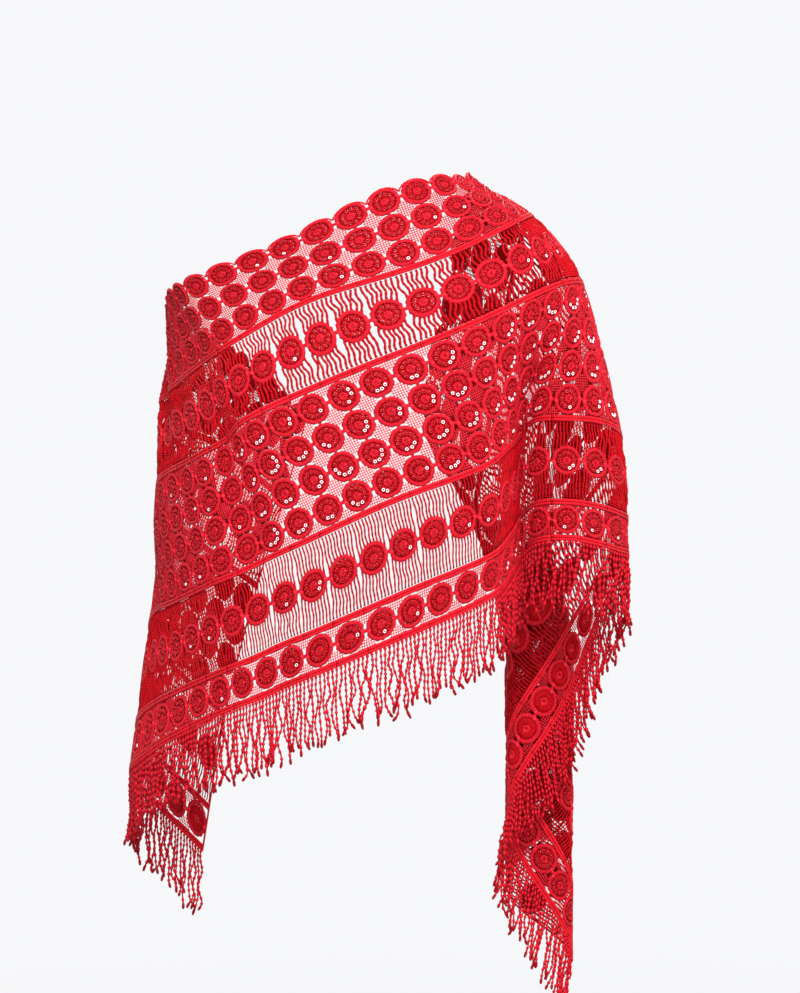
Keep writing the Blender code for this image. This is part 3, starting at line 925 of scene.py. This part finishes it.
fringe = {}
for stretch in STRETCHES:
    count = int((stretch.last - stretch.first) * PITCH / FRINGE_STEP)
    gap = (stretch.last - stretch.first) / count
    columns = stretch.first + (np.arange(count) + 0.5) * gap
    hem = np.full(count, WIDTH)
    roots = place(columns, hem)
    ways = outward(place, columns, hem)
    at_end = ease((columns - END_FROM) / END_OVER)[:, None]
    leave = unit(roots - place(columns, hem - HEM_RUN))
    leave = unit(leave * (1.0 - at_end) + END_STRAND_WAY * at_end)
    sag = SAG - SAG_LOST_AT_END * at_end
    falls = unit(leave * (1.0 - sag) + DOWN * sag)
    shapes = []
    clump = 0
    while clump < count:
        size = int(draw.choice(CLUMP_SIZES))
        members = range(clump, min(clump + size, count))
        middle = roots[members[0]:members[-1] + 1].mean(axis=0) + draw.uniform(-CLUMP_STRAY, CLUMP_STRAY, 3)
        cling = draw.uniform(*CLUMP_CLING)
        hold = draw.uniform(*CLUMP_HOLD)
        for index in members:
            shapes.append(strung_strand(roots[index], ways[index], falls[index], middle, cling, hold))
        clump += size
    points, stitches, faces = together(shapes)
    piece = make_piece("fringe_strands_" + stretch.name, points * MM, faces, stitches,
                       np.zeros(len(faces)), (fringe_red,))
    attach(piece, "root")
    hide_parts("fringe_" + stretch.name)
    fringe[stretch.name] = piece

# ---------------------------------------------------------------------------------------------
# The sequins: little clear cups with a pierced middle, one in each gap of a medallion's wheel.
# Most show the red beneath them; those that face the light are painted white, a painted highlight for their
# flash.
# ---------------------------------------------------------------------------------------------
CUP = 1.95
CUP_PROFILE = ((0.8, 1.45), (CUP - 0.5, 2.1), (CUP, 1.7))
CUP_SIDES = 7
CUP_RING = 8.3
CUPS = 10
CUP_STRAY = 0.4
FILM_PLAY = 400.0
FILM_SHINE = 0.35
COAT_ROUGHNESS = 0.06


def sequin_finish(name, bright, deep, roughness, coat):
    """Glossy film with a faint play of colour."""
    material, shader, maths = new_material(name, roughness)
    play = maths.take("ShaderNodeTexNoise", Scale=FILM_PLAY, Detail=1.0)
    play.between(deep, bright).feed(shader, "Base Color")
    shader.inputs["Specular IOR Level"].default_value = FILM_SHINE
    shader.inputs["Coat Weight"].default_value = coat
    shader.inputs["Coat Roughness"].default_value = COAT_ROUGHNESS
    return material


sequin_clear = sequin_finish(
    "clear_sequins_over_red", (0.60, 0.008, 0.018, 1), (0.18, 0.0, 0.002, 1), roughness=0.25, coat=0.10)
# These are the same clear cups, painted white all over: a painted highlight where they would flash in the
# light.
sequin_painted_glint = sequin_finish(
    "sequins_that_flash", (0.86, 0.78, 0.78, 1), (0.78, 0.58, 0.60, 1), roughness=0.2, coat=0.3)
cups = []
for number in range(CUPS):
    turn = 2 * math.pi * number / CUPS
    cups.append(ring_of(CUP_PROFILE, CUP_SIDES, (CUP_RING * math.cos(turn), CUP_RING * math.sin(turn))))

# How many sequins of a medallion are painted white as a highlight, by row. They lie next to each
# other on the lit side, whose middle is at the angle LIT_SIDE, in radians.
PAINTED_GLINTS = {"quiet": (0, 0, 0, 1), "some": (0, 0, 1, 2), "many": (2, 3, 4, 5)}
LIT_ROWS = {194.5: "many", 227.5: "many", 260.5: "many", 293.5: "many", 358.5: "some", 424.0: "some"}
LIT_STRETCHES = ("front", "left_arm")
LIT_SIDE = 1.1
LIT_STRAY = 1.5
LIT_SHARE = 0.8
draw = np.random.default_rng(23)
chosen = [([], []) for number in range(CUPS)]
for stretch in STRETCHES:
    for column, row in every(columns_of(stretch), MEDALLION_ROWS):
        lit = LIT_ROWS.get(row, "quiet") if stretch.name in LIT_STRETCHES else "quiet"
        shown = int(draw.choice(PAINTED_GLINTS[lit]))
        first = LIT_SIDE / (2 * math.pi) * CUPS - 0.5 * shown + draw.uniform(-LIT_STRAY, LIT_STRAY)
        for number in range(CUPS):
            flash = (number - first) % CUPS < shown and draw.uniform() < LIT_SHARE
            shift_x, shift_y = draw.uniform(-CUP_STRAY, CUP_STRAY, 2)
            chosen[number][1 if flash else 0].append((column + shift_x / PITCH, row + shift_y))
sequins = []
for kind, name, finish in ((0, "sequins_clear", sequin_clear), (1, "sequins_flashing", sequin_painted_glint)):
    work = Work()
    for number in range(CUPS):
        work.add(cups[number], chosen[number][kind], 0)
    piece = work.piece(name, (finish,))
    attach(piece, "root")
    sequins.append(piece)

# ---------------------------------------------------------------------------------------------
# What each stretch was before it was worn: a length of the one straight cloth, which was cut
# 1.50 m long and 447 mm wide. It hangs from the left shoulder and the arms.
# ---------------------------------------------------------------------------------------------
for stretch in STRETCHES:
    added = [fringe[stretch.name]]
    if stretch.name == "front":
        added += sequins
